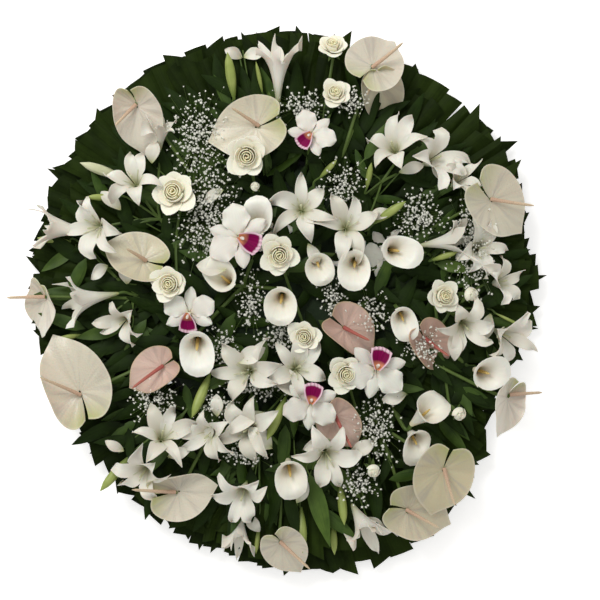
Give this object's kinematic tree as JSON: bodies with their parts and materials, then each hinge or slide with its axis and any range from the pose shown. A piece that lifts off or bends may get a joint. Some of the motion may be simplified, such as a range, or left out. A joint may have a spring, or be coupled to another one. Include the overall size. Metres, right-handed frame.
{
  "type": "funeral wreath",
  "caption": "Round wreath of white and cream flowers in a foam pad, with a collar of pleated palm leaf, lying on its flat back.",
  "frame": {"origin": "middle of the tray's flat underside, on which the wreath lies", "axes": "+Z out of the flowers' face, +Y towards the picture's top, +X towards its right"},
  "size_m": [1.1292, 1.1425, 0.1848],
  "materials": {
    "tray": "dark green moulded plastic",
    "foam": "damp green floral foam, porous and soft",
    "palm": "dark green pleated palm leaf, slight wax sheen",
    "white_petal": "off-white petals on green stems, soft satin",
    "lip": "deep magenta orchid lip with a pale frill",
    "rose_petal": "cream rose petals, velvet matte",
    "calla_petal": "ivory calla spathe, smooth satin",
    "cream_spathe": "waxy cream anthurium spathe, glossy",
    "pink_spathe": "waxy pale pink anthurium spathe, glossy",
    "gypsophila": "tiny white florets on thin green stalks"
  },
  "bodies": {
    "root": {"tray": "tray", "floral_foam": "foam", "palm_fan_1": "palm", "palm_fan_2": "palm", "palm_fan_3": "palm", "palm_fan_4": "palm", "palm_fan_5": "palm", "palm_fan_6": "palm", "palm_fan_7": "palm", "palm_fan_8": "palm", "cattleya_1": "white_petal", "cattleya_2": "white_petal", "cattleya_3": "white_petal", "cattleya_4": "white_petal", "cattleya_5": "white_petal", "lily_stem_1": "white_petal", "lily_stem_2": "white_petal", "lily_stem_3": "white_petal", "lily_stem_4": "white_petal", "lily_stem_5": "white_petal", "lily_stem_6": "white_petal", "lily_stem_7": "white_petal", "lily_stem_8": "white_petal", "lily_stem_9": "white_petal", "lily_stem_10": "white_petal", "lily_stem_11": "white_petal", "lily_stem_12": "white_petal", "cattleya_lip_1": "lip", "cattleya_lip_2": "lip", "cattleya_lip_3": "lip", "cattleya_lip_4": "lip", "cattleya_lip_5": "lip", "rose_stem_1": "rose_petal", "rose_stem_2": "rose_petal", "rose_stem_3": "rose_petal", "rose_stem_4": "rose_petal", "rose_stem_5": "rose_petal", "rose_stem_6": "rose_petal", "calla_bunch_1": "calla_petal", "calla_bunch_2": "calla_petal", "calla_bunch_3": "calla_petal", "calla_bunch_4": "calla_petal", "anthurium_1": "cream_spathe", "anthurium_2": "cream_spathe", "anthurium_3": "cream_spathe", "anthurium_4": "cream_spathe", "anthurium_5": "cream_spathe", "anthurium_6": "cream_spathe", "anthurium_7": "cream_spathe", "anthurium_8": "cream_spathe", "anthurium_9_10": "cream_spathe", "anthurium_11": "cream_spathe", "anthurium_12": "cream_spathe", "pink_anthurium_1": "pink_spathe", "pink_anthurium_2": "pink_spathe", "pink_anthurium_3": "pink_spathe", "pink_anthurium_4": "pink_spathe", "gypsophila_1": "gypsophila", "gypsophila_2": "gypsophila", "gypsophila_3": "gypsophila"}
  },
  "joints": []
}
